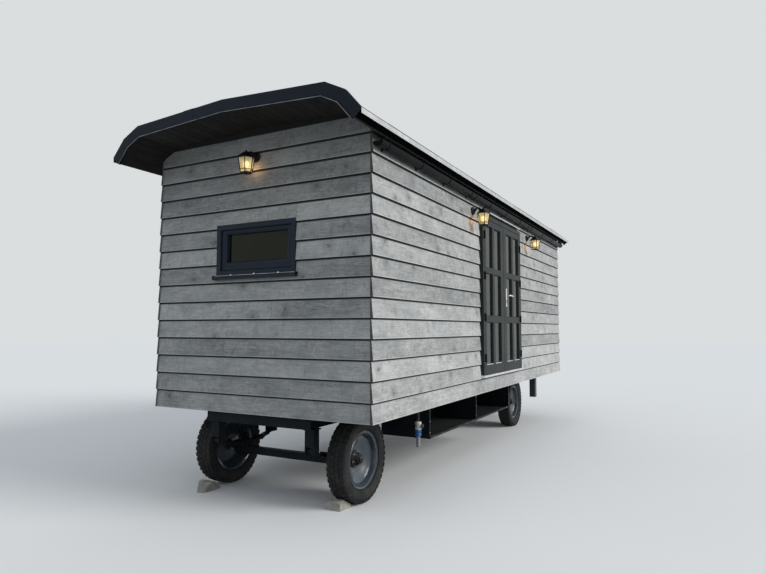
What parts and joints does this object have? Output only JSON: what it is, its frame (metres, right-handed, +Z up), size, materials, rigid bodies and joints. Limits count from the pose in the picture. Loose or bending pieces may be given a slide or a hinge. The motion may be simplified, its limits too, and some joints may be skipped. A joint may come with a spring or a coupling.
{
  "type": "shepherds hut",
  "caption": "Long timber shepherds hut with a faceted arched roof, glazed double doors and a small end window, on a steel chassis with rubber tyred wheels.",
  "frame": {"origin": "on the ground, under the middle of the hut's outline seen from above", "axes": "+X along the hut from the window end to the far end, -Y out of the door side, +Z up"},
  "size_m": [7.765, 2.862, 3.55],
  "materials": {
    "cladding": "grey stained sawn boards",
    "floor_boards": "oiled boards",
    "soffit_boards": "dark stained boards",
    "anthracite_sheet": "satin coated sheet",
    "black_metal": "satin black coat",
    "door_paint": "satin paint",
    "window_paint": "satin paint",
    "threshold_metal": "mill finish",
    "handle_steel": "brushed",
    "glass": "clear",
    "lamp_glass": "warm lit, clear",
    "chassis_paint": "satin coat",
    "wheel_paint": "satin coat",
    "tyre_rubber": "dusty tread",
    "grey_plastic": "moulded",
    "concrete": "broken faces"
  },
  "bodies": {
    "hut": {"back_wall": "cladding", "front_wall_left": "cladding", "front_wall_right": "cladding", "front_wall_header": "cladding", "front_wall_sill": "cladding", "window_end_wall": "cladding", "far_end_wall": "cladding", "floor": "floor_boards", "roof_deck": "soffit_boards", "roof_covering": "anthracite_sheet", "window_end_fascia": "anthracite_sheet", "far_end_fascia": "anthracite_sheet", "gutter_door_side": "black_metal", "lantern_end": "black_metal", "lantern_left": "black_metal", "lantern_right": "black_metal", "door_frame": "door_paint", "window_frame": "window_paint", "window_sash": "window_paint", "window_sill": "window_paint", "door_threshold": "threshold_metal", "window_glass": "glass", "lantern_glass_end": "lamp_glass", "lantern_glass_left": "lamp_glass", "lantern_glass_right": "lamp_glass", "chassis_frame": "chassis_paint", "front_axle": "chassis_paint", "rear_axle": "chassis_paint", "spring_front_door_side": "chassis_paint", "spring_front_back": "chassis_paint", "spring_rear_door_side": "chassis_paint", "spring_rear_back": "chassis_paint", "storage_tray": "chassis_paint", "steady_leg_door_side": "chassis_paint", "steady_leg_back": "chassis_paint", "water_inlet": "grey_plastic", "wheel_block_door_side": "concrete", "wheel_block_back": "concrete"},
    "door_left": {"door_leaf_left": "door_paint", "door_glass_left": "glass"},
    "door_right": {"door_leaf_right": "door_paint", "door_glass_right": "glass", "door_handle_plates": "handle_steel"},
    "lever": {"door_lever": "handle_steel"},
    "wheel_front_door_side": {"tyre_front_door_side": "tyre_rubber", "wheel_front_door_side": "wheel_paint"},
    "wheel_front_back": {"tyre_front_back": "tyre_rubber", "wheel_front_back": "wheel_paint"},
    "wheel_rear_door_side": {"tyre_rear_door_side": "tyre_rubber", "wheel_rear_door_side": "wheel_paint"},
    "wheel_rear_back": {"tyre_rear_back": "tyre_rubber", "wheel_rear_back": "wheel_paint"}
  },
  "joints": [
    {"name": "door_left_swing", "type": "hinge", "parent": "hut", "child": "door_left", "pos_m": [-0.721, -1.2645, 1.975], "axis": [0, 0, -1], "range_deg": [0, 110]},
    {"name": "door_right_swing", "type": "hinge", "parent": "hut", "child": "door_right", "pos_m": [0.834, -1.2645, 1.975], "axis": [0, 0, 1], "range_deg": [0, 110]},
    {"name": "lever_turn", "type": "hinge", "parent": "door_right", "child": "lever", "pos_m": [0.151, -1.254, 2.015], "axis": [0, 1, 0], "range_deg": [0, 40], "stiffness_Nm_per_rad": 0.8, "springref_deg": -17.19},
    {"name": "spin_front_door_side", "type": "hinge", "parent": "hut", "child": "wheel_front_door_side", "pos_m": [-2.8675, -0.742, 0.385], "axis": [0, 1, 0], "continuous": true},
    {"name": "spin_front_back", "type": "hinge", "parent": "hut", "child": "wheel_front_back", "pos_m": [-2.8675, 0.804, 0.385], "axis": [0, 1, 0], "continuous": true},
    {"name": "spin_rear_door_side", "type": "hinge", "parent": "hut", "child": "wheel_rear_door_side", "pos_m": [1.9825, -0.742, 0.385], "axis": [0, 1, 0], "continuous": true},
    {"name": "spin_rear_back", "type": "hinge", "parent": "hut", "child": "wheel_rear_back", "pos_m": [1.9825, 0.804, 0.385], "axis": [0, 1, 0], "continuous": true}
  ]
}
